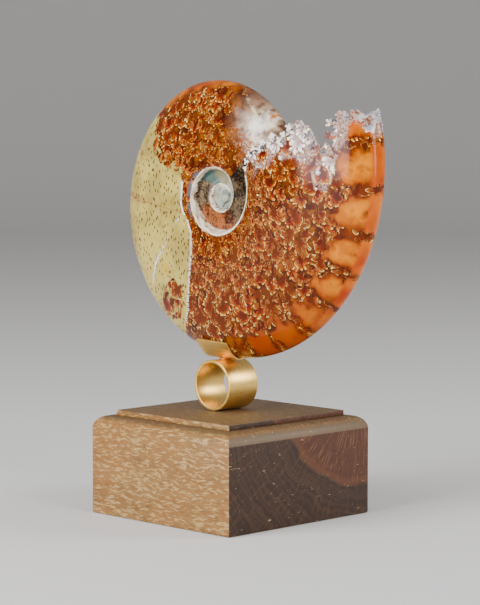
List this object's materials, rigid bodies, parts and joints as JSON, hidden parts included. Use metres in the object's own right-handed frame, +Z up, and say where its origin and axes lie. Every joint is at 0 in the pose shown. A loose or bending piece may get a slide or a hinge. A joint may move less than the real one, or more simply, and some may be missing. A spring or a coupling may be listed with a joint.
{
  "type": "cleoniceras ammonite on a display stand",
  "caption": "Polished ammonite fossil with a frilled broken end, held upright in a brass cradle on a brass ring and a square oak block.",
  "frame": {"origin": "middle of the oak block's underside", "axes": "+Z up; the coil lies in the XZ plane, the flank that is looked at faces -Y and the broken end is at the top on +X"},
  "size_m": [0.1714, 0.0978, 0.2164],
  "materials": {
    "fossil_shell": "polished",
    "cradle_brass": "satin",
    "ring_brass": "satin",
    "oak": "satin"
  },
  "bodies": {
    "root": {"ammonite": "fossil_shell", "brass_cradle": "cradle_brass", "brass_ring": "ring_brass", "wood_base": "oak"}
  },
  "joints": []
}
